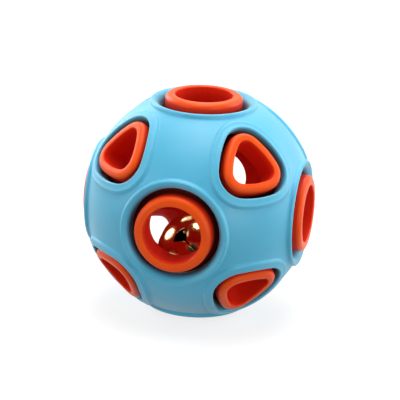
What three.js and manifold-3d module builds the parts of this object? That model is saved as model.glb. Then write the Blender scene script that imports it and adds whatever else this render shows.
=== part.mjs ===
// Rubber bell ball: a hollow outer ball with fourteen rimmed openings, an inner ball whose collars reach
// out through them, and a loose bell with a pellet in it. Millimetres, +Z up, origin at the ball's centre.

import * as THREE from 'three';
import { mergeVertices } from 'three/addons/utils/BufferGeometryUtils.js';
import Module from 'manifold-3d';

const wasm = await Module();
wasm.setup();

// Outer ball
const BALL_RADIUS = 40; // outside, between the raised rims
const SHELL_WALL = 4.6;
const RIM_FOOT = 0.5; // fillet where a rim rises from the ball
const RIM_LAND = 0.4; // narrow flat on the crest of a rim

// Inner ball, snug inside the outer one
const BALL_CLEARANCE = 0.4;
const CORE_WALL = 4;
const COLLAR_PROUD = 1.5; // height of a collar's end over the outer ball's surface
const COLLAR_ROUNDING = 1.9; // at the outer edge of a collar's end
const BORE_ROUNDING = 0.8; // at the edge of its bore

// Round openings, on the six main axes
const ROUND_BORE = 10; // radius inside the collar
const ROUND_WALL = 3.5; // of the collar
const ROUND_GAP = 1.8; // between the collar and the outer ball
const ROUND_FLARE = 3.2; // width of the rounding from the throat out to the rim's crest
const ROUND_FLARE_DEPTH = 3;
const ROUND_RIM_WIDTH = 0.5; // from the crest down to the foot
const ROUND_RIM_HEIGHT = 1.25;

// Three-lobed openings, on the eight diagonals, with a lobe towards each round opening beside them
const LOBE_REACH = 8.6; // from the axis to the tip of a lobe, inside the collar
const LOBE_RADIUS = 3.4; // rounding of a lobe's tip
const FLANK_RADIUS = 25; // the slightly bowed sides between the lobes
const LOBE_WALL = 3.2;
const LOBE_GAP = 1.7;
const LOBE_FLARE = 0.5;
const LOBE_FLARE_DEPTH = 0.8;
const LOBE_RIM_WIDTH = 2.5;
const LOBE_RIM_HEIGHT = 1;

// Bell, lying on its side in the mouth of the lowest collar
const BELL_RADIUS = 14.2;
const BELL_SHEET = 0.6;
const BELL_YAW = -57; // degrees from +X to the pole where the petals meet
const PETALS = 4;
const SLIT_WIDTH = 0.8;
const NOTCH_TIP = 50; // degrees from the pole to where a slit widens into its notch
const NOTCH_ROOT = 70; // degrees from the pole to the wide end of the notch
const NOTCH_WIDTH = 7;
const SEAT_GAP = 0.3; // left between pieces that lie on each other
const LOOP_WIRE = 0.6; // radius
const LOOP_SPAN = 5; // between the loop's two legs
const LOOP_RISE = 4.5; // from the crown to the middle of the wire at the loop's top
const LOOP_CLINCH = 2.2; // length of each leg's bent end
const PELLET_RADIUS = 3.5;

// Facets
const OUTSIDE_SEGMENTS = 32;
const INSIDE_SEGMENTS = 18; // where the two balls face each other, and in the cavity
const BELL_SEGMENTS = 20;
const ROUND_SIDES = 22;
const LOBE_STEPS = 4;
const FLANK_STEPS = 2;
const ROUND_FLARE_STEPS = 2;
const LOBE_FLARE_STEPS = 1;
const COLLAR_EDGE_STEPS = 2;
const BORE_EDGE_STEPS = 1;
const NOTCH_STEPS = 4;
const WIRE_SIDES = 6;
const WIRE_STEPS = 26;
const PELLET_SEGMENTS = 12;

// Sizes that follow
const SOCKET_RADIUS = BALL_RADIUS - SHELL_WALL;
const CORE_RADIUS = SOCKET_RADIUS - BALL_CLEARANCE;
const CAVITY_RADIUS = CORE_RADIUS - CORE_WALL;
const BELL_INSIDE = BELL_RADIUS - BELL_SHEET;
const MOUTH_DEPTH = Math.sqrt(CAVITY_RADIUS ** 2 - ROUND_BORE ** 2);
const BELL_DEPTH = MOUTH_DEPTH - Math.sqrt((BELL_RADIUS + SEAT_GAP) ** 2 - ROUND_BORE ** 2);
const PELLET_DEPTH = BELL_DEPTH + BELL_INSIDE - PELLET_RADIUS - SEAT_GAP;

const radians = THREE.MathUtils.degToRad;

// Solids for cutting and joining

function toSolid(geometry) {
  const bare = geometry.clone();
  bare.deleteAttribute('normal');
  bare.deleteAttribute('uv');
  const merged = mergeVertices(bare);
  const mesh = new wasm.Mesh({
    numProp: 3,
    vertProperties: new Float32Array(merged.attributes.position.array),
    triVerts: new Uint32Array(merged.index.array),
  });
  return new wasm.Manifold(mesh);
}

function toGeometry(solid) {
  const mesh = solid.getMesh();
  const geometry = new THREE.BufferGeometry();
  geometry.setAttribute('position', new THREE.BufferAttribute(mesh.vertProperties, 3));
  geometry.setIndex(new THREE.BufferAttribute(mesh.triVerts, 1));
  geometry.computeVertexNormals();
  return geometry;
}

function sphere(radius, segments) {
  return toSolid(new THREE.SphereGeometry(radius, segments, segments / 2).rotateX(Math.PI / 2));
}

// The part of a solid on one side of the plane through the ball's centre: 1 is above it, -1 below.
function half(solid, side) {
  const size = 4 * BALL_RADIUS;
  const block = new THREE.BoxGeometry(size, size, size).translate(0, 0, (side * size) / 2);
  return solid.intersect(toSolid(block));
}

// Outlines round an opening's axis: points with their outward normals, so that walls can be offset

function arcPoint(centre, radius, angle) {
  const normal = new THREE.Vector2(Math.cos(angle), Math.sin(angle));
  return { point: normal.clone().multiplyScalar(radius).add(centre), normal };
}

function roundOutline() {
  const outline = [];
  for (let i = 0; i < ROUND_SIDES; i++) {
    outline.push(arcPoint(new THREE.Vector2(), ROUND_BORE, (2 * Math.PI * i) / ROUND_SIDES));
  }
  return outline;
}

// Three lobe arcs and three flatter flank arcs, each tangent to the next.
function lobedOutline() {
  const third = (2 * Math.PI) / 3;
  const lobeAt = LOBE_REACH - LOBE_RADIUS;
  const across = lobeAt * Math.sin(third / 2);
  const along = Math.sqrt((FLANK_RADIUS - LOBE_RADIUS) ** 2 - across ** 2);
  const flankAt = along - lobeAt / 2;
  const flankHalf = Math.atan2(across, along);
  const lobeHalf = third / 2 - flankHalf;
  const outline = [];
  for (let k = 0; k < 3; k++) {
    const toLobe = k * third;
    const toFlank = toLobe + third / 2;
    const lobeCentre = new THREE.Vector2(lobeAt, 0).rotateAround(new THREE.Vector2(), toLobe);
    const flankCentre = new THREE.Vector2(-flankAt, 0).rotateAround(new THREE.Vector2(), toFlank);
    for (let i = 0; i < LOBE_STEPS; i++) {
      const turn = lobeHalf * ((2 * i) / LOBE_STEPS - 1);
      outline.push(arcPoint(lobeCentre, LOBE_RADIUS, toLobe + turn));
    }
    for (let i = 0; i < FLANK_STEPS; i++) {
      const turn = flankHalf * ((2 * i) / FLANK_STEPS - 1);
      outline.push(arcPoint(flankCentre, FLANK_RADIUS, toFlank + turn));
    }
  }
  return outline;
}

// A station's level gives the height along the opening's axis at a distance from that axis.
const flat = (height) => () => height;
const dome = (radius) => (reach) => Math.sqrt(radius ** 2 - reach ** 2);

// A closed solid through rings of one outline, each offset from it and set at its level.
function loft(outline, stations) {
  const count = outline.length;
  const positions = [];
  const faces = [];
  for (const { offset, level } of stations) {
    for (const { point, normal } of outline) {
      const placed = point.clone().addScaledVector(normal, offset);
      positions.push(placed.x, placed.y, level(placed.length()));
    }
  }
  const bottom = stations.length * count;
  const top = bottom + 1;
  const topRing = (stations.length - 1) * count;
  positions.push(0, 0, stations[0].level(0));
  positions.push(0, 0, stations.at(-1).level(0));
  for (let i = 0; i < count; i++) {
    const next = (i + 1) % count;
    faces.push(bottom, next, i);
    faces.push(top, topRing + i, topRing + next);
    for (let ring = 0; ring < topRing; ring += count) {
      faces.push(ring + i, ring + next, ring + count + next);
      faces.push(ring + i, ring + count + next, ring + count + i);
    }
  }
  const geometry = new THREE.BufferGeometry();
  geometry.setAttribute('position', new THREE.Float32BufferAttribute(positions, 3));
  geometry.setIndex(faces);
  return geometry;
}

// Openings

// Turns +Z to an opening's axis, with +X towards the pole of the ball that is nearest to it.
function placement(axis) {
  const z = axis.clone().normalize();
  const atPole = axis.x === 0 && axis.y === 0;
  const towards = atPole ? new THREE.Vector3(1, 0, 0) : new THREE.Vector3(0, 0, axis.z < 0 ? -1 : 1);
  const y = new THREE.Vector3().crossVectors(z, towards).normalize();
  const x = new THREE.Vector3().crossVectors(y, z);
  return new THREE.Matrix4().makeBasis(x, y, z);
}

const roundAxes = [];
const lobedAxes = [];
for (const side of [1, -1]) {
  for (const component of [0, 1, 2]) {
    roundAxes.push(new THREE.Vector3().setComponent(component, side));
  }
  for (const x of [1, -1]) {
    for (const y of [1, -1]) {
      lobedAxes.push(new THREE.Vector3(x, y, side));
    }
  }
}

const roundOpening = {
  places: roundAxes.map(placement),
  outline: roundOutline(),
  reach: ROUND_BORE,
  wall: ROUND_WALL,
  gap: ROUND_GAP,
  flare: ROUND_FLARE,
  flareDepth: ROUND_FLARE_DEPTH,
  flareSteps: ROUND_FLARE_STEPS,
  rimWidth: ROUND_RIM_WIDTH,
  rimHeight: ROUND_RIM_HEIGHT,
};

const lobedOpening = {
  places: lobedAxes.map(placement),
  outline: lobedOutline(),
  reach: LOBE_REACH,
  wall: LOBE_WALL,
  gap: LOBE_GAP,
  flare: LOBE_FLARE,
  flareDepth: LOBE_FLARE_DEPTH,
  flareSteps: LOBE_FLARE_STEPS,
  rimWidth: LOBE_RIM_WIDTH,
  rimHeight: LOBE_RIM_HEIGHT,
};

// Steps round a quarter circle of unit radius: away from a wall, and down from the edge that it ends in.
function quarterRound(steps) {
  const points = [];
  for (let i = 0; i <= steps; i++) {
    const angle = (Math.PI / 2) * (i / steps);
    points.push({ inset: 1 - Math.cos(angle), drop: 1 - Math.sin(angle) });
  }
  return points;
}

// A plug with the outside of the raised rim, which the throat then cuts through.
function rimPlug({ outline, wall, gap, flare, rimWidth, rimHeight }) {
  const crest = wall + gap + flare;
  const foot = crest + rimWidth;
  return loft(outline, [
    { offset: foot + 2 * RIM_FOOT, level: dome(BALL_RADIUS - RIM_FOOT) },
    { offset: foot, level: dome(BALL_RADIUS + RIM_FOOT) },
    { offset: crest + RIM_LAND / 2, level: dome(BALL_RADIUS + rimHeight) },
  ]);
}

// The hole through the outer ball's wall, flaring out to the crest of the rim.
function throatCut({ outline, reach, wall, gap, flare, flareDepth, flareSteps, rimHeight }) {
  const throat = wall + gap;
  const crest = throat + flare - RIM_LAND / 2;
  const crestRadius = BALL_RADIUS + rimHeight;
  const inside = dome(SOCKET_RADIUS)(reach + throat) - SHELL_WALL;
  return loft(outline, [
    { offset: throat, level: flat(inside) },
    ...quarterRound(flareSteps).map(({ inset, drop }) => ({
      offset: throat + inset * (crest - throat),
      level: dome(crestRadius - drop * flareDepth),
    })),
    { offset: crest, level: flat(crestRadius + SHELL_WALL) },
  ]);
}

function collarEnd(reach, wall) {
  return dome(BALL_RADIUS)(reach + wall) + COLLAR_PROUD;
}

function collarPlug({ outline, reach, wall }) {
  const end = collarEnd(reach, wall);
  return loft(outline, [
    { offset: wall, level: dome(CORE_RADIUS - CORE_WALL / 2) },
    ...quarterRound(COLLAR_EDGE_STEPS).map(({ inset, drop }) => ({
      offset: wall - inset * COLLAR_ROUNDING,
      level: flat(end - drop * COLLAR_ROUNDING),
    })),
  ]);
}

function boreCut({ outline, reach, wall }) {
  const end = collarEnd(reach, wall);
  return loft(outline, [
    { offset: 0, level: dome(CAVITY_RADIUS - CORE_WALL) },
    ...quarterRound(BORE_EDGE_STEPS).map(({ inset, drop }) => ({
      offset: inset * BORE_ROUNDING,
      level: flat(end - drop * BORE_ROUNDING),
    })),
    { offset: BORE_ROUNDING, level: flat(end + COLLAR_PROUD) },
  ]);
}

// One solid for every place of an opening.
function everywhere(opening, make) {
  const geometry = make(opening);
  return opening.places.map((place) => toSolid(geometry.clone().applyMatrix4(place)));
}

// A wall between two spheres, with a plug added and a cut made at every opening.
function portedBall(outside, inside, plug, cut) {
  let ball = outside;
  for (const opening of [roundOpening, lobedOpening]) {
    for (const piece of everywhere(opening, plug)) {
      ball = ball.add(piece);
    }
  }
  ball = ball.subtract(inside);
  for (const opening of [roundOpening, lobedOpening]) {
    for (const piece of everywhere(opening, cut)) {
      ball = ball.subtract(piece);
    }
  }
  return ball;
}

// Bell, built with its petals' pole on +Z and its crown on -Z

function slitCut() {
  const reach = BELL_RADIUS * Math.sin(radians((NOTCH_TIP + NOTCH_ROOT) / 2));
  const height = BELL_RADIUS;
  return new THREE.BoxGeometry(reach, SLIT_WIDTH, height).translate(reach / 2, 0, height);
}

// The notch at a slit's root: narrow towards the pole, with a bowed wide end.
function notchCut() {
  const length = BELL_RADIUS * radians(NOTCH_ROOT - NOTCH_TIP);
  const depth = 4 * BELL_SHEET;
  const shape = new THREE.Shape();
  shape.moveTo(-length / 2, -SLIT_WIDTH / 2);
  shape.lineTo(length / 4, -NOTCH_WIDTH / 2);
  shape.quadraticCurveTo((3 * length) / 4, 0, length / 4, NOTCH_WIDTH / 2);
  shape.lineTo(-length / 2, SLIT_WIDTH / 2);
  shape.closePath();
  return new THREE.ExtrudeGeometry(shape, { depth, bevelEnabled: false, curveSegments: NOTCH_STEPS })
    .translate(0, 0, BELL_RADIUS - depth / 2)
    .rotateY(radians((NOTCH_TIP + NOTCH_ROOT) / 2));
}

function legHole(side) {
  const length = BELL_RADIUS / 2;
  return new THREE.CylinderGeometry(LOOP_WIRE + SEAT_GAP, LOOP_WIRE + SEAT_GAP, length, WIRE_SIDES)
    .rotateX(Math.PI / 2)
    .translate((side * LOOP_SPAN) / 2, 0, -BELL_RADIUS);
}

function bellBody() {
  let body = sphere(BELL_RADIUS, BELL_SEGMENTS).subtract(sphere(BELL_INSIDE, BELL_SEGMENTS));
  for (let i = 0; i < PETALS; i++) {
    const turn = (2 * Math.PI * (i + 0.5)) / PETALS;
    for (const cut of [slitCut(), notchCut()]) {
      body = body.subtract(toSolid(cut.rotateZ(turn)));
    }
  }
  for (const side of [1, -1]) {
    body = body.subtract(toSolid(legHole(side)));
  }
  return toGeometry(body);
}

// One leg of the loop's wire, from its bent end inside the bell up to the start of the bow.
function loopLeg(side) {
  const leg = LOOP_SPAN / 2;
  const tip = leg + LOOP_CLINCH;
  const lying = BELL_INSIDE - LOOP_WIRE - SEAT_GAP;
  const knee = Math.sqrt(lying ** 2 - leg ** 2) - LOOP_WIRE;
  const crown = Math.sqrt(BELL_RADIUS ** 2 - leg ** 2);
  const bow = BELL_RADIUS + LOOP_RISE - leg;
  return [
    new THREE.Vector3(side * tip, 0, -Math.sqrt(lying ** 2 - tip ** 2) + LOOP_WIRE),
    new THREE.Vector3(side * (leg + LOOP_WIRE), 0, -knee + LOOP_WIRE),
    new THREE.Vector3(side * leg, 0, -knee - LOOP_WIRE),
    new THREE.Vector3(side * leg, 0, -crown),
    new THREE.Vector3(side * leg, 0, -bow),
  ];
}

function bellLoop() {
  const leg = LOOP_SPAN / 2;
  const bow = BELL_RADIUS + LOOP_RISE - leg;
  const path = loopLeg(1);
  for (const angle of [45, 90, 135]) {
    path.push(new THREE.Vector3(leg * Math.cos(radians(angle)), 0, -bow - leg * Math.sin(radians(angle))));
  }
  path.push(...loopLeg(-1).reverse());
  const section = new THREE.Shape().absarc(0, 0, LOOP_WIRE, 0, 2 * Math.PI);
  return new THREE.ExtrudeGeometry(section, {
    steps: WIRE_STEPS,
    curveSegments: WIRE_SIDES / 2,
    bevelEnabled: false,
    extrudePath: new THREE.CatmullRomCurve3(path),
  });
}

// Materials

const blueRubber = new THREE.MeshStandardMaterial({ color: 0x5fb4d6, roughness: 0.55, metalness: 0 });
const orangeRubber = new THREE.MeshStandardMaterial({ color: 0xf4652f, roughness: 0.45, metalness: 0 });
const brass = new THREE.MeshStandardMaterial({ color: 0xd9b25c, roughness: 0.2, metalness: 1 });
const steel = new THREE.MeshStandardMaterial({ color: 0xb9bdc2, roughness: 0.25, metalness: 1 });

// Assembly

function addPiece(parent, name, geometry, material) {
  const mesh = new THREE.Mesh(geometry, material);
  mesh.name = name;
  parent.add(mesh);
  return mesh;
}

const bellBall = new THREE.Group();

const outside = sphere(BALL_RADIUS, OUTSIDE_SEGMENTS);
const socket = sphere(SOCKET_RADIUS, INSIDE_SEGMENTS);
const outerBall = portedBall(outside, socket, rimPlug, throatCut);
addPiece(bellBall, 'outer_ball_upper', toGeometry(half(outerBall, 1)), blueRubber);
addPiece(bellBall, 'outer_ball_lower', toGeometry(half(outerBall, -1)), blueRubber);

const core = sphere(CORE_RADIUS, INSIDE_SEGMENTS);
const cavity = sphere(CAVITY_RADIUS, INSIDE_SEGMENTS);
const innerBall = portedBall(core, cavity, collarPlug, boreCut);
addPiece(bellBall, 'inner_ball_upper', toGeometry(half(innerBall, 1)), orangeRubber);
addPiece(bellBall, 'inner_ball_lower', toGeometry(half(innerBall, -1)), orangeRubber);

const bell = new THREE.Group();
bell.position.z = -BELL_DEPTH;
bell.rotation.set(0, Math.PI / 2, radians(BELL_YAW), 'ZYX');
bellBall.add(bell);
addPiece(bell, 'bell_body', bellBody(), brass);
addPiece(bell, 'bell_loop', bellLoop(), brass);

const pelletBall = new THREE.SphereGeometry(PELLET_RADIUS, PELLET_SEGMENTS, PELLET_SEGMENTS / 2);
const pellet = addPiece(bellBall, 'bell_pellet', pelletBall, steel);
pellet.position.z = -PELLET_DEPTH;

export default bellBall;
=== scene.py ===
import math

import bmesh
import bpy
import numpy as np
from mathutils import Matrix, Vector, noise


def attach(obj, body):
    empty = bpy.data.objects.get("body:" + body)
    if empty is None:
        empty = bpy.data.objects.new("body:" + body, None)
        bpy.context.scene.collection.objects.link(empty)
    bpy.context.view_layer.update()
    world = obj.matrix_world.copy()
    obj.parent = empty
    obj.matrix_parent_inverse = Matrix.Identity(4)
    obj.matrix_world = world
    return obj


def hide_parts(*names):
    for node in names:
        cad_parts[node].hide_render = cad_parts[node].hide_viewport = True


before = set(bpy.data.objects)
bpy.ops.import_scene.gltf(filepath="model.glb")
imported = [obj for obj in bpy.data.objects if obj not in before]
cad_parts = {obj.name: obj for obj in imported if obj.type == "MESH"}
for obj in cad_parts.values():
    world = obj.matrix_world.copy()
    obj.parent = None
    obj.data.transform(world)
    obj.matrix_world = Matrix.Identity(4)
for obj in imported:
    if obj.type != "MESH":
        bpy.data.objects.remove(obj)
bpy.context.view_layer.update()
scene = bpy.context.scene

# Rubber bell ball. Sizes are in millimetres and become metres as each mesh is made. +Z is up, and the
# origin is the ball's centre. Both balls mirror across the planes X, Y and Z = 0, so each is made as
# one octant and mirrored.
MM = 0.001
WELD = 0.001  # points closer than this are one

# Outer ball
BALL_RADIUS = 40
SHELL_WALL = 4.6

# Inner ball
BALL_CLEARANCE = 0.4  # between the two balls
CORE_WALL = 4
COLLAR_PROUD = 1.5  # from the outer ball's surface up to the end of a collar
COLLAR_ROUNDING = 1.9  # at the outer edge of a collar's end
BORE_ROUNDING = 0.6  # at the edge of its bore
COLLAR_FILLET = 0.8  # where a collar leaves the ball
CAVITY_ROUNDING = 0.6  # where a bore opens into the cavity

# Round openings, on the axes
ROUND_BORE = 10  # radius inside the collar
ROUND_WALL = 3.5  # of the collar
ROUND_GAP = 1.8  # between the collar and the outer ball
ROUND_FLARE = 3.2  # width of the flare, from the throat to the rim
ROUND_FLARE_DEPTH = 4.8
ROUND_RIM_HEIGHT = 1.25
ROUND_BEAD = 0.5  # radius of the ridge along the rim
ROUND_FOOT = 0.45  # fillet at the foot of the rim
ROUND_CELL = 19.57  # radius of the patch that holds a round opening and its rim

# Three-lobed openings, on the diagonals
LOBE_REACH = 8.6  # from the axis to the tip of a lobe
LOBE_RADIUS = 3.4  # of a lobe's tip
FLANK_RADIUS = 25  # of the flatter sides between lobes
LOBE_WALL = 3.2
LOBE_GAP = 1.7
LOBE_FLARE = 0.8
LOBE_FLARE_DEPTH = 1.1
LOBE_RIM_HEIGHT = 1
LOBE_RIM_WIDTH = 1.8  # from the hole's edge to the shoulder
LOBE_RIM_DISH = 0.12  # how deep the rim's top is dished
LOBE_SHOULDER = 0.55
LOBE_FOOT = 0.5

# Ends of the arcs that make up the rims, in degrees from the direction away from the opening's axis
ROUND_FOOT_END = -170
ROUND_BEAD_END = 135
ROUND_FLARE_START = 115
LOBE_FOOT_END = -150
LOBE_SHOULDER_START = 10

# Bell
BELL_RADIUS = 14.2
BELL_SHEET = 0.6
BELL_EDGE = 0.12  # rounding of the sheet's edges
BELL_YAW = -57  # which way the bell lies, in degrees round Z
SEAT_GAP = 0.3  # between pieces that lie on each other
PETALS = 4
SLIT_WIDTH = 0.5
NOTCH_WIDTH = 7
# Rows of the bell's sheet, in degrees from the pole where the petals meet
NOTCH_TIP = 50  # where a slit widens into its notch
NOTCH_CORNER = 65  # where the notch is widest
NOTCH_ROOT = 70  # the middle of its bowed end
PETAL_TIP = 0.2  # how far a petal's tip is cut back from where the slits cross

# Loop of the bell
LOOP_WIRE = 0.6  # radius of the wire
LOOP_SPAN = 5  # from leg to leg
LOOP_RISE = 4.5  # from the bell's crown to the wire's middle at the top of the bow
LOOP_CLINCH = 2.2  # length of an end that is bent over
LOOP_KNEE = 0.9  # radius of that bend
LOOP_EDGE = 0.15  # rounding of the cut ends

# Pellet in the bell
PELLET_RADIUS = 3.5
PELLET_DENT = 0.06  # depth of a dent
PELLET_DENTS = 2.5  # dents along one radius

# Mesh steps
QUARTER_STEPS = 24
FLANK_STEPS = 16
LAND_STEPS = 6
ARC_STEPS = 6
BEAD_STEPS = 9
FLARE_STEPS = 12
PETAL_COLUMNS = 17
NOTCH_COLUMNS = 9
SLIT_ROWS = 14
NOTCH_ROWS = 6
CROWN_ROWS = 24
BEND_STEPS = 9
WIRE_SIDES = 14
EDGE_STEPS = 2
PELLET_SPLITS = 4

# Sizes that follow
SOCKET_RADIUS = BALL_RADIUS - SHELL_WALL
CORE_RADIUS = SOCKET_RADIUS - BALL_CLEARANCE
CAVITY_RADIUS = CORE_RADIUS - CORE_WALL
CELL_ANGLE = math.asin(ROUND_CELL / BALL_RADIUS)
BELL_INSIDE = BELL_RADIUS - BELL_SHEET
MOUTH_DEPTH = math.sqrt(CAVITY_RADIUS**2 - ROUND_BORE**2)
BELL_DEPTH = MOUTH_DEPTH - math.sqrt((BELL_RADIUS + SEAT_GAP) ** 2 - ROUND_BORE**2)
PELLET_DEPTH = BELL_DEPTH + BELL_INSIDE - PELLET_RADIUS - SEAT_GAP
REST_DEPTH = math.sqrt(BALL_RADIUS**2 - (ROUND_BORE + ROUND_WALL) ** 2) + COLLAR_PROUD
SECTOR = math.pi / PETALS  # half of the turn from one petal to the next
CROWN_START = NOTCH_ROOT + NOTCH_CORNER - NOTCH_TIP  # row behind the notches, where the crown begins

# Colours are linear. A pair of them is two tones of one mottled material.
WHITE = (1, 1, 1, 1)
BLUE_TONES = ((0.066, 0.425, 0.63, 1), (0.08, 0.455, 0.67, 1))
ORANGE_TONES = ((0.85, 0.078, 0.003, 1), (0.91, 0.094, 0.0036, 1))
BELL_TONES = ((0.80, 0.56, 0.22, 1), (0.88, 0.66, 0.30, 1))
LOOP_TONES = ((0.62, 0.44, 0.18, 1), (0.78, 0.57, 0.25, 1))
PELLET_TONES = ((0.46, 0.47, 0.49, 1), (0.60, 0.61, 0.63, 1))
BELL_SHADE_INSIDE = (0.03, 0.02, 0.01, 1)  # painted shade: the inside of the bell's sheet, painted near black
NOISE_SPREAD = (0.3, 0.7)  # nearly all of the noise lies between these values

# Painted shade: rubber down in the gaps and deep in the bores is painted darker. Here are those darker
# colours, and the distances from the ball's centre between which each goes over to the colour of the surface
GAP_SHADE_BLUE = (0.02, 0.026, 0.1, 1)
BLUE_SHADE_DEPTHS = (37.2, 40)
GAP_SHADE_ORANGE = (0.12, 0.006, 0.004, 1)
GAP_SHADE_DEPTHS = (35.5, 39.3)
DEEP_SHADE_ORANGE = (0.72, 0.014, 0.001, 1)
ORANGE_SHADE_AND_GLOSS_DEPTHS = (37, 40.2)
ORANGE_POLISH = 0.4  # how much less rough the surface is than the deep rubber
# The sides of a collar are painted redder than its end, as painted shade. What tells them apart is how
# far from the ball's centre the plane of the surface passes.
SIDE_SHADE_ORANGE = (0.82, 0.026, 0.001, 1)
SIDE_SHADE_TURN = (14, 37)

# View of the ball, which leans a little in the picture
VIEW_AZIMUTH = 13.075
VIEW_ELEVATION = 18.725
VIEW_ROLL = 2.545
VIEW_DISTANCE = 740
VIEW_WIDTH = 141.1  # across the picture, at the ball's centre
VIEW_SHIFT = (0.0013, 0.0019)
VIEW_START = 10  # nothing closer to the camera than this is drawn
SENSOR = 36

# Studio
FLOOR_REACH = 4000
FLOOR_DROP = 0.05  # keeps the floor off the ring that the ball rests on
FLOOR_GREY = (0.27, 0.27, 0.27, 1)
FLOOR_GLOW = 0.78  # under the ball
FLOOR_GLOW_REACH = (150, 500)  # where the floor goes over to plain white
WORLD_FILL = 0.06
CARD_AZIMUTH = 4
CARD_ELEVATION = 16
CARD_DISTANCE = 1000
CARD_SIZE = 800
CARD_GREY = (0.03, 0.03, 0.03, 1)
# Name, azimuth and elevation in degrees, distance and width in millimetres, power in watts
LAMPS = [
    ("top", 0, 86, 600, 400, 2.8),
    ("back", 180, 55, 650, 450, 2.2),
    ("left_back", -120, 20, 700, 500, 3.2),
    ("right_back", 115, 18, 700, 500, 3.1),
    ("left_front", -50, 8, 700, 500, 2.3),
    ("right_front", 47, 4, 800, 450, 3.1),
]


# Meshes

def make_piece(name, vertices, faces):
    mesh = bpy.data.meshes.new(name)
    mesh.from_pydata([tuple(v) for v in np.asarray(vertices) * MM], [], faces)
    piece = bpy.data.objects.new(name, mesh)
    scene.collection.objects.link(piece)
    return piece


def square(name, half, height=0):
    corners = ((-half, -half), (half, -half), (half, half), (-half, half))
    return make_piece(name, [(x, y, height) for x, y in corners], [(0, 1, 2, 3)])


def smooth(piece):
    for polygon in piece.data.polygons:
        polygon.use_smooth = True


def round_edges(piece, width):
    edge = piece.modifiers.new("edge", "BEVEL")
    edge.width = width * MM
    edge.segments = EDGE_STEPS


# Joins the points that lie on each other and turns all faces outwards.
def weld(mesh):
    shape = bmesh.new()
    shape.from_mesh(mesh)
    bmesh.ops.remove_doubles(shape, verts=shape.verts, dist=WELD * MM)
    bmesh.ops.recalc_face_normals(shape, faces=shape.faces)
    shape.to_mesh(mesh)
    shape.free()


# Quads between rings of equally many points. A closed ring joins its last point to its first.
def stitch(rings, closed):
    count = len(rings[0])
    faces = []
    for row in range(len(rings) - 1):
        for i in range(count if closed else count - 1):
            a = row * count + i
            b = row * count + (i + 1) % count
            faces.append((a, b, b + count, a + count))
    return np.concatenate(rings), faces


# Puts several pairs of points and faces together into one.
def gather(parts):
    vertices = np.zeros((0, 3))
    faces = []
    for points, quads in parts:
        faces += [tuple(i + len(vertices) for i in quad) for quad in quads]
        vertices = np.concatenate([vertices, points])
    return vertices, faces


# Outlines of the two bores round their own axis, as points and outward normals

def arc_points(centre, radius, angles):
    normals = np.stack([np.cos(angles), np.sin(angles)], axis=1)
    return np.asarray(centre) + radius * normals, normals


def round_quarter():
    return arc_points((0, 0), ROUND_BORE, np.linspace(0, math.pi / 2, QUARTER_STEPS + 1))


# Three lobe arcs and three flatter flank arcs, each tangent to the next.
def lobed_outline():
    third = 2 * math.pi / 3
    lobe_at = LOBE_REACH - LOBE_RADIUS
    across = lobe_at * math.sin(third / 2)
    along = math.sqrt((FLANK_RADIUS - LOBE_RADIUS) ** 2 - across**2)
    flank_at = along - lobe_at / 2
    flank_half = math.atan2(across, along)
    lobe_half = third / 2 - flank_half
    arcs = []
    for k in range(3):
        to_lobe = k * third
        to_flank = to_lobe + third / 2
        lobe_centre = lobe_at * np.array([math.cos(to_lobe), math.sin(to_lobe)])
        flank_centre = -flank_at * np.array([math.cos(to_flank), math.sin(to_flank)])
        lobe_turns = lobe_half * np.linspace(-1, 1, QUARTER_STEPS, endpoint=False)
        flank_turns = flank_half * np.linspace(-1, 1, FLANK_STEPS, endpoint=False)
        arcs.append(arc_points(lobe_centre, LOBE_RADIUS, to_lobe + lobe_turns))
        arcs.append(arc_points(flank_centre, FLANK_RADIUS, to_flank + flank_turns))
    points = np.concatenate([points for points, _ in arcs])
    normals = np.concatenate([normals for _, normals in arcs])
    return points, normals


# The edge of the lobed patch: quarter circles round three neighbours, and the mirror planes between.
def lobed_edge():
    around = np.linspace(math.pi / 2, 0, QUARTER_STEPS, endpoint=False)
    reach = math.sin(CELL_ANGLE)
    height = np.full(QUARTER_STEPS, math.cos(CELL_ANGLE))
    circle = np.stack([reach * np.cos(around), reach * np.sin(around), height], axis=1)
    down = np.linspace(CELL_ANGLE, math.pi / 2 - CELL_ANGLE, FLANK_STEPS, endpoint=False)
    plane = np.stack([np.sin(down), np.zeros(FLANK_STEPS), np.cos(down)], axis=1)
    stretch = np.concatenate([circle, plane])
    return np.concatenate([np.roll(stretch, turn, axis=1) for turn in range(3)])


# A profile is a run of stations: an offset from the bore's outline, and a level that gives the height
# along the opening's axis at a distance from it.

def flat(height):
    return lambda reach: np.full_like(reach, height)


def dome(radius):
    return lambda reach: np.sqrt(radius**2 - reach**2)


# Stations round part of an ellipse, in degrees from the direction away from the opening's axis.
def bend(level, centre, size, start, end, steps=ARC_STEPS):
    angles = np.radians(np.linspace(start, end, steps + 1))
    return [(centre[0] + size[0] * math.cos(a), level(centre[1] + size[1] * math.sin(a))) for a in angles]


def ring(outline, station):
    points, normals = outline
    offset, level = station
    placed = points + offset * normals
    return np.column_stack([placed, level(np.linalg.norm(placed, axis=1))])


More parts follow.
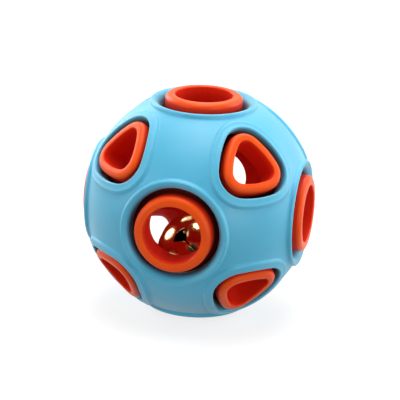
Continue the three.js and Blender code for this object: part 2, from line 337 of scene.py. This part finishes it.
# Round opening of the outer ball, from the land over the rim and down the throat to the socket.
def outer_round_profile():
    throat = ROUND_WALL + ROUND_GAP
    crest = throat + ROUND_FLARE - ROUND_BEAD / 2
    foot = crest + ROUND_BEAD + ROUND_FOOT
    top = BALL_RADIUS + ROUND_RIM_HEIGHT
    bottom = top - ROUND_FLARE_DEPTH
    turn = math.radians(ROUND_BEAD_END)
    start = math.radians(ROUND_FLARE_START)
    edge = crest + ROUND_BEAD * math.cos(turn)
    edge_level = top - ROUND_BEAD * (1 - math.sin(turn))
    flare = ((edge - throat) / (1 + math.cos(start)), (edge_level - bottom) / math.sin(start))
    return [
        *bend(dome, (foot, BALL_RADIUS + ROUND_FOOT), (ROUND_FOOT, ROUND_FOOT), -90, ROUND_FOOT_END),
        *bend(dome, (crest, top - ROUND_BEAD), (ROUND_BEAD, ROUND_BEAD), 0, ROUND_BEAD_END, BEAD_STEPS),
        *bend(dome, (throat + flare[0], bottom), flare, ROUND_FLARE_START, 180, FLARE_STEPS)[1:],
        (throat, dome(SOCKET_RADIUS)),
    ]


# Lobed opening of the outer ball: a broad rim with a soft shoulder.
def outer_lobed_profile():
    throat = LOBE_WALL + LOBE_GAP
    edge = throat + LOBE_FLARE
    shoulder = edge + LOBE_RIM_WIDTH
    foot = shoulder + LOBE_SHOULDER + LOBE_FOOT
    top = BALL_RADIUS + LOBE_RIM_HEIGHT
    drop = LOBE_RIM_HEIGHT - LOBE_FOOT
    return [
        *bend(dome, (foot, BALL_RADIUS + LOBE_FOOT), (LOBE_FOOT, LOBE_FOOT), -90, LOBE_FOOT_END),
        *bend(dome, (shoulder, top - drop), (LOBE_SHOULDER, drop), LOBE_SHOULDER_START, 90),
        ((2 * shoulder + edge) / 3, dome(top - LOBE_RIM_DISH)),
        ((shoulder + 2 * edge) / 3, dome(top - LOBE_RIM_DISH)),
        *bend(dome, (edge, top - LOBE_FLARE_DEPTH), (LOBE_FLARE, LOBE_FLARE_DEPTH), 90, 180),
        (throat, dome(SOCKET_RADIUS)),
    ]


# Collar of the inner ball, from the core up its outside, over its end and down the bore.
def collar_profile(reach, wall):
    end = math.sqrt(BALL_RADIUS**2 - (reach + wall) ** 2) + COLLAR_PROUD
    fillet = (COLLAR_FILLET, COLLAR_FILLET)
    outer_edge = (COLLAR_ROUNDING, COLLAR_ROUNDING)
    bore_edge = (BORE_ROUNDING, BORE_ROUNDING)
    mouth = (CAVITY_ROUNDING, CAVITY_ROUNDING)
    return [
        *bend(dome, (wall + COLLAR_FILLET, CORE_RADIUS + COLLAR_FILLET), fillet, -90, -180),
        *bend(flat, (wall - COLLAR_ROUNDING, end - COLLAR_ROUNDING), outer_edge, 0, 90),
        *bend(flat, (BORE_ROUNDING, end - BORE_ROUNDING), bore_edge, 90, 180),
        *bend(dome, (CAVITY_ROUNDING, CAVITY_RADIUS + CAVITY_ROUNDING), mouth, 180, 270),
    ]


# One octant of a ball whose skins have these radii: a quarter of a round opening at each axis, and a
# lobed opening between them.

def round_patch(profile, outside, inside):
    quarter = round_quarter()
    rings = [ring(quarter, station) for station in profile]
    height = np.full(len(quarter[1]), math.cos(CELL_ANGLE))
    edge = np.column_stack([math.sin(CELL_ANGLE) * quarter[1], height])
    return stitch([edge * outside, *rings, edge * inside], closed=False)


# Rings on a ball's skin, from the edge of the lobed patch to just short of the opening.
def land(edge, opening, radius):
    hole = opening / np.linalg.norm(opening, axis=1, keepdims=True)
    rings = []
    for share in np.linspace(0, 1, LAND_STEPS, endpoint=False):
        between = edge * (1 - share) + hole * share
        rings.append(radius * between / np.linalg.norm(between, axis=1, keepdims=True))
    return rings


def lobed_patch(profile, outside, inside):
    along = Vector((1, 1, 1)).normalized()
    across = along.cross(Vector((0, 0, 1))).normalized()
    turn = np.column_stack([across.cross(along), across, along])
    outline = lobed_outline()
    rings = [ring(outline, station) @ turn.T for station in profile]
    edge = lobed_edge()
    outer = land(edge, rings[0], outside)
    inner = land(edge, rings[-1], inside)
    return stitch([*outer, *rings, *reversed(inner)], closed=True)


def octant(round_profile, lobed_profile, outside, inside):
    points, quads = round_patch(round_profile, outside, inside)
    quarters = [(np.roll(points, turn, axis=1), quads) for turn in range(3)]
    return gather([lobed_patch(lobed_profile, outside, inside), *quarters])


# Normals of the whole ball on one half of it, so that no crease shows where the halves meet.
def seamless_normals(mesh):
    normals = np.zeros((len(mesh.vertices), 3))
    for polygon in mesh.polygons:
        if polygon.use_smooth:
            normals[list(polygon.vertices)] += np.array(polygon.normal) * polygon.area
    on_seam = np.array([abs(v.co.z) < WELD * MM for v in mesh.vertices])
    normals[on_seam, 2] = 0
    normals /= np.linalg.norm(normals, axis=1, keepdims=True)
    loops = []
    for polygon in mesh.polygons:
        for vertex in polygon.vertices:
            loops.append(normals[vertex] if polygon.use_smooth else polygon.normal)
    mesh.normals_split_custom_set([tuple(n) for n in loops])


# The half of a ball above (side 1) or below (side -1) the level plane, closed by its flat weld faces.
def half_ball(name, parts, side):
    points, quads = parts
    quarters = [(points * (x, y, side), quads) for x in (1, -1) for y in (1, -1)]
    piece = make_piece(name, *gather(quarters))
    mesh = piece.data
    shape = bmesh.new()
    shape.from_mesh(mesh)
    bmesh.ops.remove_doubles(shape, verts=shape.verts, dist=WELD * MM)
    for face in shape.faces:
        face.smooth = True
    rim = [edge for edge in shape.edges if edge.is_boundary]
    for face in bmesh.ops.holes_fill(shape, edges=rim, sides=0)["faces"]:
        face.smooth = False
    bmesh.ops.recalc_face_normals(shape, faces=shape.faces)
    shape.to_mesh(mesh)
    shape.free()
    seamless_normals(mesh)
    return piece


# Bell, made with its petals' pole on +Z and its crown on -Z

# Half of the turn that a slit or notch takes up in a row.
def gap_half(row):
    widening = np.clip((row - NOTCH_TIP) / (NOTCH_CORNER - NOTCH_TIP), 0, 1)
    width = SLIT_WIDTH + widening * (NOTCH_WIDTH - SLIT_WIDTH)
    reach = BELL_RADIUS * np.sin(np.radians(np.minimum(row, NOTCH_CORNER)))
    return np.arcsin(width / 2 / reach)


def on_bell(row, azimuth):
    polar = np.radians(row)
    across = np.sin(polar)
    unit = [across * np.cos(azimuth), across * np.sin(azimuth), np.cos(polar)]
    return BELL_RADIUS * np.stack(unit, axis=-1)


def crown_rows():
    return np.linspace(CROWN_START, 180, CROWN_ROWS)[1:]


# One petal, from its tip past the slits and notches at its sides to the crown.
def petal(middle):
    tip = math.degrees(math.asin(SLIT_WIDTH / 2 / math.sin(SECTOR) / BELL_RADIUS)) + PETAL_TIP
    rows = np.concatenate(
        [
            np.linspace(tip, NOTCH_TIP, SLIT_ROWS, endpoint=False),
            np.linspace(NOTCH_TIP, NOTCH_CORNER, NOTCH_ROWS, endpoint=False),
            NOTCH_CORNER + (CROWN_START - NOTCH_CORNER) * np.linspace(0, 1, NOTCH_ROWS),
            crown_rows(),
        ]
    )
    sides = np.linspace(-1, 1, PETAL_COLUMNS)
    rings = [on_bell(np.full(PETAL_COLUMNS, row), middle + sides * (SECTOR - gap_half(row))) for row in rows]
    return stitch(rings, closed=False)


# The strip of sheet behind one notch, from the notch's bowed end to the crown.
def strip(middle):
    sides = np.linspace(-1, 1, NOTCH_COLUMNS)
    end = NOTCH_ROOT - (NOTCH_ROOT - NOTCH_CORNER) * sides**2
    rows = [end + (CROWN_START - end) * share for share in np.linspace(0, 1, NOTCH_ROWS)]
    rows += [np.full(NOTCH_COLUMNS, row) for row in crown_rows()]
    rings = [on_bell(row, middle + sides * gap_half(NOTCH_CORNER)) for row in rows]
    return stitch(rings, closed=False)


def petal_bell():
    parts = []
    for index in range(PETALS):
        middle = 2 * SECTOR * index
        parts += [petal(middle), strip(middle + SECTOR)]
    bell = make_piece("petal_bell", *gather(parts))
    weld(bell.data)
    sheet = bell.modifiers.new("sheet", "SOLIDIFY")
    sheet.thickness = BELL_SHEET * MM
    sheet.offset = -1
    drill_crown(bell)
    round_edges(bell, BELL_EDGE)
    smooth(bell)
    return bell


# The two holes that the loop's wire goes through, drilled once the sheet has its thickness.
def drill_crown(bell):
    drills = bmesh.new()
    radius = (LOOP_WIRE + SEAT_GAP) * MM
    for x in (-LOOP_SPAN / 2, LOOP_SPAN / 2):
        bmesh.ops.create_cone(
            drills,
            cap_ends=True,
            segments=WIRE_SIDES,
            radius1=radius,
            radius2=radius,
            depth=LOOP_RISE * MM,
            matrix=Matrix.Translation((x * MM, 0, -BELL_RADIUS * MM)),
        )
    bits = make_piece("drills", np.zeros((0, 3)), [])
    drills.to_mesh(bits.data)
    drills.free()
    cut = bell.modifiers.new("holes", "BOOLEAN")
    cut.object = bits
    shaped = bell.evaluated_get(bpy.context.evaluated_depsgraph_get())
    drilled = bpy.data.meshes.new_from_object(shaped)
    bell.modifiers.clear()
    bell.data = drilled
    bpy.data.objects.remove(bits)


# Path of the loop's wire in the plane Y = 0 of the bell, as pairs of X and Z: the bent end, the knee,
# the leg and half of the bow, and then the same on the other side.
def staple_path():
    leg = LOOP_SPAN / 2
    tip = leg + LOOP_CLINCH
    lying = BELL_INSIDE - LOOP_WIRE - SEAT_GAP
    level = LOOP_WIRE - math.sqrt(lying**2 - tip**2)
    bow = leg - BELL_RADIUS - LOOP_RISE
    knee_turns = np.linspace(math.pi / 2, math.pi, BEND_STEPS)
    bow_turns = np.linspace(0, -math.pi / 2, BEND_STEPS)
    knee, _ = arc_points((leg + LOOP_KNEE, level - LOOP_KNEE), LOOP_KNEE, knee_turns)
    half_bow, _ = arc_points((0, bow), leg, bow_turns)
    side = np.concatenate([[(tip, level)], knee, half_bow])
    return np.concatenate([side, side[-2::-1] * (-1, 1)])


def staple_loop():
    path = staple_path()
    ahead = np.gradient(path, axis=0)
    ahead /= np.linalg.norm(ahead, axis=1, keepdims=True)
    turns = np.linspace(0, 2 * math.pi, WIRE_SIDES, endpoint=False)
    rings = []
    for (x, z), (run, rise) in zip(path, ahead):
        out = LOOP_WIRE * np.cos(turns)
        rings.append(np.column_stack([x - rise * out, LOOP_WIRE * np.sin(turns), z + run * out]))
    vertices, faces = stitch(rings, closed=True)
    last = len(vertices) - WIRE_SIDES
    faces.append(tuple(range(WIRE_SIDES)))
    faces.append(tuple(range(last, last + WIRE_SIDES)))
    loop = make_piece("staple_loop", vertices, faces)
    weld(loop.data)
    round_edges(loop, LOOP_EDGE)
    smooth(loop)
    return loop


# Loose ball in the bell, dented by tumbling.
def rattle_pellet():
    shape = bmesh.new()
    bmesh.ops.create_icosphere(shape, subdivisions=PELLET_SPLITS, radius=1)
    points = []
    for vertex in shape.verts:
        dent = noise.noise(vertex.co * PELLET_DENTS)
        points.append(vertex.co * (PELLET_RADIUS + PELLET_DENT * dent) - Vector((0, 0, PELLET_DEPTH)))
    faces = [[vertex.index for vertex in face.verts] for face in shape.faces]
    shape.free()
    pellet = make_piece("rattle_pellet", points, faces)
    smooth(pellet)
    return pellet


# The bell lies on its side in the mouth of the lowest collar.
def lay_in_mouth(piece):
    turn = Matrix.Rotation(math.radians(BELL_YAW), 4, "Z") @ Matrix.Rotation(math.pi / 2, 4, "Y")
    piece.data.transform(Matrix.Translation((0, 0, -BELL_DEPTH * MM)) @ turn)


# Nodes of the materials

# Gives a node its inputs: a socket is linked, and anything else is set.
def feed(tree, node, inputs):
    for name, value in inputs.items():
        if isinstance(value, bpy.types.NodeSocket):
            tree.links.new(value, node.inputs[name])
        else:
            node.inputs[name].default_value = value


def add(tree, kind, inputs, **settings):
    node = tree.nodes.new(kind)
    for name, value in settings.items():
        setattr(node, name, value)
    feed(tree, node, inputs)
    return node


def new_material(name):
    material = bpy.data.materials.new(name)
    material.use_nodes = True
    tree = material.node_tree
    place = tree.nodes.new("ShaderNodeTexCoord").outputs["Object"]
    return material, tree, tree.nodes["Principled BSDF"], place


def maths(tree, operation, *values):
    return add(tree, "ShaderNodeMath", dict(enumerate(values)), operation=operation).outputs[0]


# A length or product of vectors.
def measure(tree, operation, *vectors):
    inputs = dict(enumerate(vectors))
    return add(tree, "ShaderNodeVectorMath", inputs, operation=operation).outputs["Value"]


# Takes values from one span, start to end, over to another, low to high.
def spread(tree, value, start, end, low=0, high=1, kind="LINEAR"):
    spans = {"Value": value, "From Min": start, "From Max": end, "To Min": low, "To Max": high}
    return add(tree, "ShaderNodeMapRange", spans, interpolation_type=kind).outputs["Result"]


# Rises from 0 to 1 between two distances from the ball's centre.
def outwards(tree, place, near, far):
    away = measure(tree, "LENGTH", place)
    return spread(tree, away, near * MM, far * MM, kind="SMOOTHSTEP")


# Noise between two values. The grain is the size of its patches in millimetres.
def mottle(tree, place, grain, low=0, high=1, detail=3):
    cloud = add(tree, "ShaderNodeTexNoise", {"Vector": place, "Scale": 1 / (grain * MM), "Detail": detail})
    return spread(tree, cloud.outputs["Fac"], *NOISE_SPREAD, low, high)


def tint(tree, factor, tones):
    ramp = add(tree, "ShaderNodeValToRGB", {"Fac": factor})
    for element, tone in zip(ramp.color_ramp.elements, tones):
        element.color = tone
    return ramp.outputs["Color"]


# The names of a mix node's sockets repeat, so its colour sockets go by their numbers.
def mix(tree, factor, first, second):
    return add(tree, "ShaderNodeMix", {0: factor, 6: first, 7: second}, data_type="RGBA").outputs[2]


def bump(tree, height, depth):
    inputs = {"Height": height, "Strength": 1, "Distance": depth * MM}
    return add(tree, "ShaderNodeBump", inputs).outputs["Normal"]


# Materials

def blue_rubber():
    material, tree, shader, place = new_material("blue_rubber")
    lit = tint(tree, mottle(tree, place, grain=14), BLUE_TONES)
    skin = mottle(tree, place, grain=0.35, detail=2)
    # Painted shade: down in the gaps the blue goes over to a dark navy.
    inputs = {
        "Base Color": mix(tree, outwards(tree, place, *BLUE_SHADE_DEPTHS), GAP_SHADE_BLUE, lit),
        "Roughness": mottle(tree, place, grain=6, low=0.43, high=0.49),
        "Normal": bump(tree, skin, depth=0.004),
        "Specular IOR Level": 0.5,
        "Sheen Weight": 0.4,
        "Sheen Roughness": 0.45,
        "Sheen Tint": (0.8, 0.95, 1, 1),
    }
    feed(tree, shader, inputs)
    return material


# A surface that faces the ball's centre is in a bore or in the cavity. All others are outside.
def orange_rubber():
    material, tree, shader, place = new_material("orange_rubber")
    facing = tree.nodes["Texture Coordinate"].outputs["Normal"]
    passing = measure(tree, "DOT_PRODUCT", place, facing)
    end = tint(tree, mottle(tree, place, grain=10), ORANGE_TONES)
    # Painted shade: the sides of a collar are painted redder than its end.
    side_shade_to_end = spread(tree, passing, SIDE_SHADE_TURN[0] * MM, SIDE_SHADE_TURN[1] * MM)
    lit = mix(tree, side_shade_to_end, SIDE_SHADE_ORANGE, end)
    # Painted shade: deep in the bores and the cavity the orange goes over to a darker red, and the rubber is
    # rougher there.
    shallow = outwards(tree, place, *ORANGE_SHADE_AND_GLOSS_DEPTHS)
    inside = mix(tree, shallow, DEEP_SHADE_ORANGE, lit)
    # Painted shade: down in the gaps outside, the orange goes over to near black.
    outside = mix(tree, outwards(tree, place, *GAP_SHADE_DEPTHS), GAP_SHADE_ORANGE, lit)
    matt = mottle(tree, place, grain=5, low=0.74, high=0.82)
    skin = mottle(tree, place, grain=0.5, detail=2)
    inputs = {
        "Base Color": mix(tree, maths(tree, "GREATER_THAN", passing, 0), inside, outside),
        "Roughness": maths(tree, "MULTIPLY_ADD", shallow, -ORANGE_POLISH, matt),
        "Normal": bump(tree, skin, depth=0.003),
        "Specular IOR Level": 0.18,
    }
    feed(tree, shader, inputs)
    return material


# Metal with fine marks, which the stretch packs closer along X, Y or Z.
def metal(name, tones, roughness, grain, depth, stretch=(1, 1, 1)):
    material, tree, shader, place = new_material(name)
    drawn = add(tree, "ShaderNodeMapping", {"Vector": place, "Scale": stretch}).outputs["Vector"]
    marks = mottle(tree, drawn, grain)
    inputs = {
        "Base Color": tint(tree, mottle(tree, place, grain=5), tones),
        "Roughness": mottle(tree, drawn, grain, *roughness),
        "Normal": bump(tree, marks, depth),
        "Metallic": 1,
    }
    feed(tree, shader, inputs)
    return material


# The plating covers the bell's outside. Its inside is painted near black, as painted shade.
def bell_brass():
    material = metal("bell_brass", BELL_TONES, roughness=(0.10, 0.18), grain=0.8, depth=0.002)
    tree = material.node_tree
    shader = tree.nodes["Principled BSDF"]
    place = tree.nodes["Texture Coordinate"].outputs["Object"]
    plating = shader.inputs["Base Color"].links[0].from_socket
    away = measure(tree, "DISTANCE", place, (0, 0, -BELL_DEPTH * MM))
    outside = spread(tree, away, (BELL_INSIDE + BELL_EDGE) * MM, (BELL_RADIUS - BELL_EDGE) * MM)
    # Painted shade: the inside of the sheet is painted near black.
    feed(tree, shader, {"Base Color": mix(tree, outside, BELL_SHADE_INSIDE, plating)})
    return material


def loop_brass():
    return metal("loop_brass", LOOP_TONES, roughness=(0.22, 0.36), grain=0.3, depth=0.006, stretch=(1, 4, 1))


def pellet_steel():
    return metal("pellet_steel", PELLET_TONES, roughness=(0.22, 0.38), grain=0.7, depth=0.01)


# Stage

# The way from the ball to a viewer. Azimuth 0 stands at -Y, and a growing one goes round to +X.
def direction(azimuth, elevation):
    azimuth = math.radians(azimuth)
    elevation = math.radians(elevation)
    level = math.cos(elevation)
    return Vector((math.sin(azimuth) * level, -math.cos(azimuth) * level, math.sin(elevation)))


# Stands a card, lamp or camera off from the ball, facing it.
def stand(thing, azimuth, elevation, distance, roll=0):
    away = direction(azimuth, elevation)
    turn = away.to_track_quat("Z", "Y").to_matrix().to_4x4()
    lean = Matrix.Rotation(math.radians(roll), 4, "Z")
    thing.location = away * distance * MM
    thing.rotation_euler = (turn @ lean).to_euler()


# 1 to rays straight from the camera, off a mirror or through glass, and 0 to all others.
def seen(tree):
    path = tree.nodes.new("ShaderNodeLightPath").outputs
    straight_or_mirrored = maths(tree, "MAXIMUM", path["Is Camera Ray"], path["Is Glossy Ray"])
    return maths(tree, "MAXIMUM", straight_or_mirrored, path["Is Transmission Ray"])


def white_world():
    world = bpy.data.worlds.new("studio")
    world.use_nodes = True
    tree = world.node_tree
    strength = spread(tree, seen(tree), 0, 1, WORLD_FILL, 1)
    feed(tree, tree.nodes["Background"], {"Color": WHITE, "Strength": strength})
    scene.world = world


def pale_floor():
    floor = square("floor", FLOOR_REACH, -REST_DEPTH - FLOOR_DROP)
    material, tree, shader, place = new_material("pale_floor")
    glow = spread(tree, outwards(tree, place, *FLOOR_GLOW_REACH), 0, 1, FLOOR_GLOW, 1)
    inputs = {
        "Base Color": FLOOR_GREY,
        "Roughness": 1,
        "Specular IOR Level": 0,
        "Emission Color": WHITE,
        "Emission Strength": maths(tree, "MULTIPLY", seen(tree), glow),
    }
    feed(tree, shader, inputs)
    floor.data.materials.append(material)


# Dark card on the viewer's side of the studio. It shows only where something glossy mirrors it.
def dark_card():
    card = square("card", CARD_SIZE / 2)
    stand(card, CARD_AZIMUTH, CARD_ELEVATION, CARD_DISTANCE)
    material, tree, shader, _ = new_material("dark_card")
    feed(tree, shader, {"Base Color": CARD_GREY, "Roughness": 1})
    card.data.materials.append(material)
    card.visible_camera = False
    card.visible_diffuse = False
    card.visible_shadow = False


def soft_light(name, azimuth, elevation, distance, size, power):
    lamp = bpy.data.lights.new(name, "AREA")
    lamp.size = size * MM
    lamp.energy = power
    light = bpy.data.objects.new(name, lamp)
    stand(light, azimuth, elevation, distance)
    scene.collection.objects.link(light)


def camera():
    lens = bpy.data.cameras.new("camera")
    lens.sensor_width = SENSOR
    lens.lens = SENSOR * VIEW_DISTANCE / VIEW_WIDTH
    lens.shift_x, lens.shift_y = VIEW_SHIFT
    lens.clip_start = VIEW_START * MM
    eye = bpy.data.objects.new("camera", lens)
    stand(eye, VIEW_AZIMUTH, VIEW_ELEVATION, VIEW_DISTANCE, VIEW_ROLL)
    scene.collection.objects.link(eye)
    scene.camera = eye


# Assembly

def dress(piece, body, node, material):
    piece.data.materials.clear()
    piece.data.materials.append(material)
    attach(piece, body)
    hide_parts(node)


scene.view_settings.view_transform = "Standard"
blue = blue_rubber()
orange = orange_rubber()
outer_parts = octant(outer_round_profile(), outer_lobed_profile(), BALL_RADIUS, SOCKET_RADIUS)
round_collar = collar_profile(ROUND_BORE, ROUND_WALL)
lobed_collar = collar_profile(LOBE_REACH, LOBE_WALL)
inner_parts = octant(round_collar, lobed_collar, CORE_RADIUS, CAVITY_RADIUS)
for level, side in (("upper", 1), ("lower", -1)):
    outer = half_ball(f"blue_ball_{level}", outer_parts, side)
    dress(outer, "outer_ball", f"outer_ball_{level}", blue)
    inner = half_ball(f"orange_ball_{level}", inner_parts, side)
    dress(inner, "inner_ball", f"inner_ball_{level}", orange)

bell = petal_bell()
lay_in_mouth(bell)
dress(bell, "bell", "bell_body", bell_brass())
loop = staple_loop()
lay_in_mouth(loop)
dress(loop, "bell", "bell_loop", loop_brass())
dress(rattle_pellet(), "pellet", "bell_pellet", pellet_steel())

white_world()
pale_floor()
dark_card()
for lamp in LAMPS:
    soft_light(*lamp)
camera()
